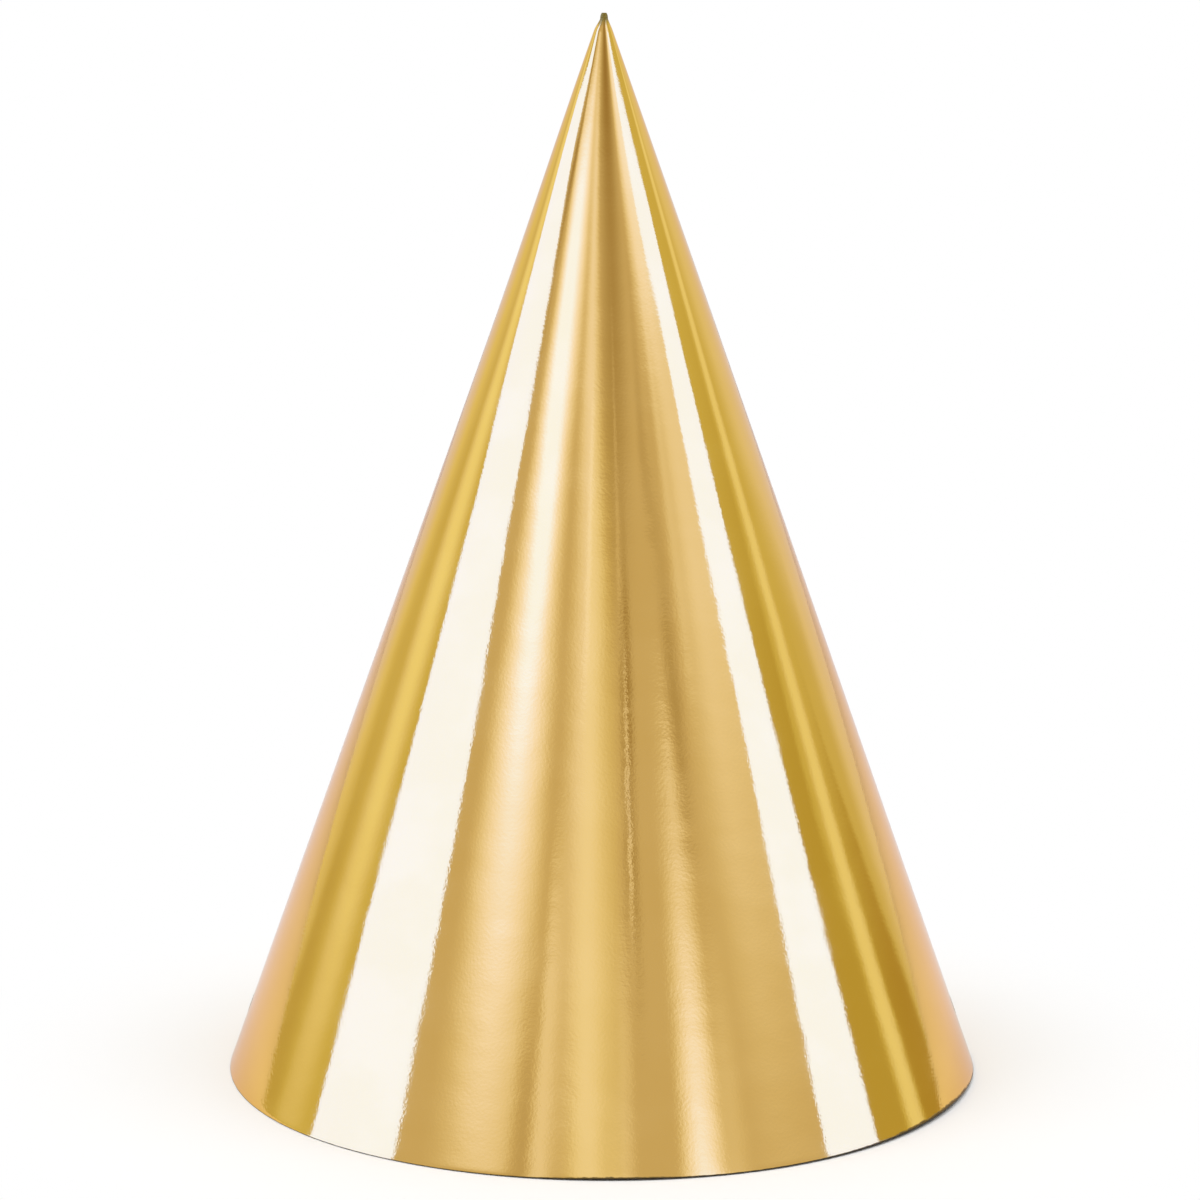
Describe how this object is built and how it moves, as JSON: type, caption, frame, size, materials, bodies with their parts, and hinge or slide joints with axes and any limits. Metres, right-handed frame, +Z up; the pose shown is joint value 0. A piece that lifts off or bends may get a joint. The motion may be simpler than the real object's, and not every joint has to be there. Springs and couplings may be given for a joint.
{
  "type": "new year party hat",
  "caption": "Cone-shaped gold foil party hat of rolled paperboard with a glued lap seam at the back and punched holes for a chin elastic; stands on its rim and fits on a head.",
  "frame": {"origin": "middle of the rim circle, on the surface that the hat stands on", "axes": "+Z up along the cone's axis towards the tip; +Y towards the back, where the lap seam runs; -Y is the front"},
  "size_m": [0.127, 0.127, 0.178],
  "materials": {
    "white_board": "uncoated white paperboard with a cut edge",
    "gold_foil": "mirror-bright gold metallised film",
    "clear_glue": "dried clear glue"
  },
  "bodies": {
    "root": {"cone_board": "white_board", "foil_film": "gold_foil", "seam_adhesive": "clear_glue"}
  },
  "joints": []
}
